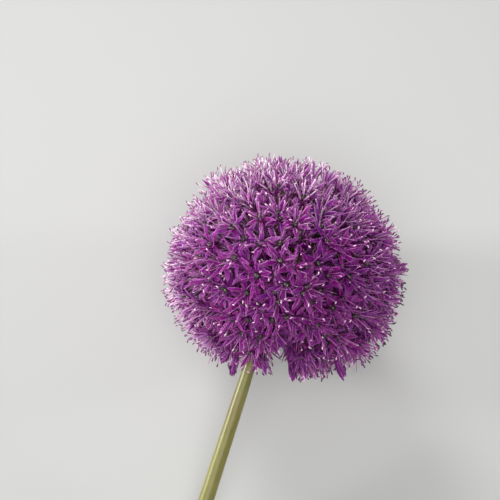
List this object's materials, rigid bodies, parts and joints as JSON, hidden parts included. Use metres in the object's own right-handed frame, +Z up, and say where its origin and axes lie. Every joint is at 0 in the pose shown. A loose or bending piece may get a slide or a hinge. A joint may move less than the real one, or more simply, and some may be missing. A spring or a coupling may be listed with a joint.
{
  "type": "allium flower head",
  "caption": "Round globe of purple star-shaped florets on radiating pedicels, cut with a short length of its round green stem and laid on its side.",
  "frame": {"origin": "on the surface that the head lies on, straight below the middle of the globe, at the flat end of the lowest floret's ovary", "axes": "+Z up from that surface, and the stem runs from the globe towards -Y, sloping down until its cut end touches the surface"},
  "size_m": [0.0993, 0.1706, 0.0956],
  "materials": {
    "stem": "satin",
    "florets": "matte"
  },
  "bodies": {
    "root": {"stem": "stem", "umbel": "florets"}
  },
  "joints": []
}
